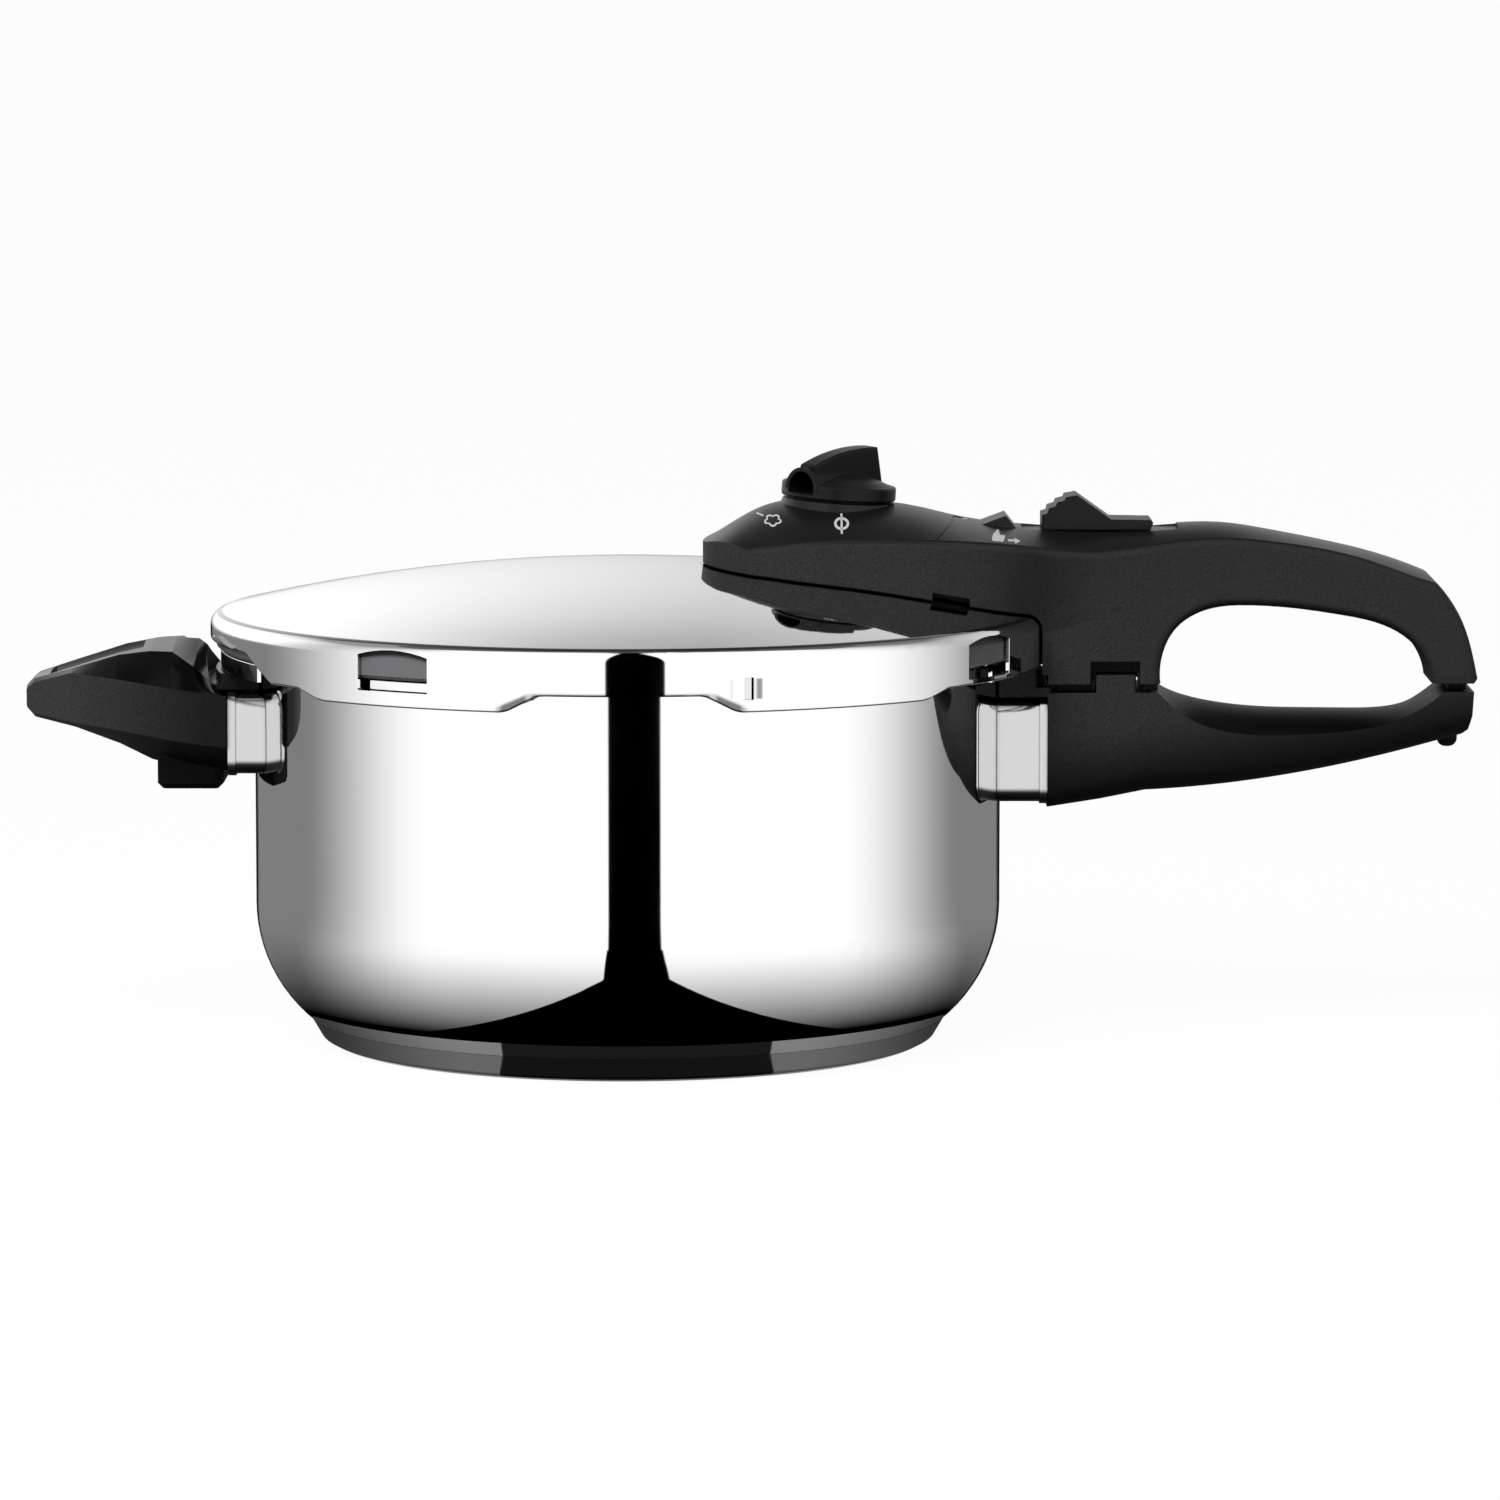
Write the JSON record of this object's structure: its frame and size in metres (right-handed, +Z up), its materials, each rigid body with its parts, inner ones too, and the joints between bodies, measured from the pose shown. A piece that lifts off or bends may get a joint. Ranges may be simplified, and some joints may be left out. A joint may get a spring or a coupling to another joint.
{
  "type": "stovetop pressure cooker",
  "caption": "Stovetop pressure cooker: polished steel pot with bayonet lid, paired black long handles, helper handle, pressure selector knob and sliding lid lock.",
  "frame": {"origin": "centre of the base underside, on the pot axis", "axes": "+Z up along the pot axis, +X from the axis towards the paired long handles, -Y towards the picture's side"},
  "size_m": [0.4306, 0.248, 0.1764],
  "materials": {
    "polished_steel": "mirror-polished stainless steel sheet",
    "base_steel": "satin stainless steel",
    "aluminium_core": "plain aluminium, hidden in the base",
    "bracket_steel": "plain stainless steel",
    "bright_guard": "mirror-polished steel",
    "black_plastic": "fine-grained black phenolic",
    "fastener_steel": "zinc-plated steel",
    "grey_silicone": "matt grey silicone",
    "valve_brass": "nickel-plated brass",
    "spring_steel": "drawn spring wire",
    "indicator_metal": "turned aluminium"
  },
  "bodies": {
    "pot": {"pot_shell": "polished_steel", "base_core": "aluminium_core", "base_cap": "base_steel", "long_bracket": "bracket_steel", "long_guard": "bright_guard", "pot_handle": "black_plastic", "pot_handle_screw": "fastener_steel", "lock_keeper": "bracket_steel", "side_bracket": "bracket_steel", "side_guard": "bright_guard", "side_handle": "black_plastic", "side_handle_screw_1": "fastener_steel", "side_handle_screw_2": "fastener_steel"},
    "lid": {"lid_shell": "polished_steel", "gasket": "grey_silicone", "lid_handle": "black_plastic", "lid_handle_plate": "black_plastic", "lid_bracket": "bracket_steel", "lid_handle_screw_1": "fastener_steel", "lid_handle_screw_2": "fastener_steel", "valve_body": "valve_brass", "valve_nut": "valve_brass", "valve_seal": "grey_silicone", "valve_spring": "spring_steel", "safety_body": "valve_brass", "safety_nut": "valve_brass", "safety_spring": "spring_steel"},
    "selector": {"valve_knob": "black_plastic"},
    "lock": {"lock_slide": "black_plastic", "lock_bolt": "bracket_steel"},
    "indicator": {"pressure_indicator": "indicator_metal", "indicator_seal": "grey_silicone"},
    "valve": {"valve_plunger": "valve_brass"},
    "safety": {"safety_stem": "valve_brass"}
  },
  "joints": [
    {"name": "lid_turn", "type": "hinge", "parent": "pot", "child": "lid", "pos_m": [0, 0, 0.12], "axis": [0, 0, 1], "range_deg": [-30, 0]},
    {"name": "selector_turn", "type": "hinge", "parent": "lid", "child": "selector", "pos_m": [0.0611, 0, 0.13889], "axis": [0.0698, 0, 0.9976], "range_deg": [-45, 45]},
    {"name": "lock_travel", "type": "slide", "parent": "lid", "child": "lock", "axis": [1, 0, 0], "range_m": [0, 0.006]},
    {"name": "indicator_rise", "type": "slide", "parent": "lid", "child": "indicator", "axis": [0, 0, 1], "range_m": [0, 0.004]},
    {"name": "valve_lift", "type": "slide", "parent": "lid", "child": "valve", "axis": [0.0698, 0, 0.9976], "range_m": [0, 0.0015], "stiffness_N_per_m": 1200, "springref_m": -0.002, "deforming": ["valve_spring"]},
    {"name": "safety_lift", "type": "slide", "parent": "lid", "child": "safety", "axis": [0, 0, 1], "range_m": [0, 0.0015], "stiffness_N_per_m": 2400, "springref_m": -0.004, "deforming": ["safety_spring"]}
  ]
}
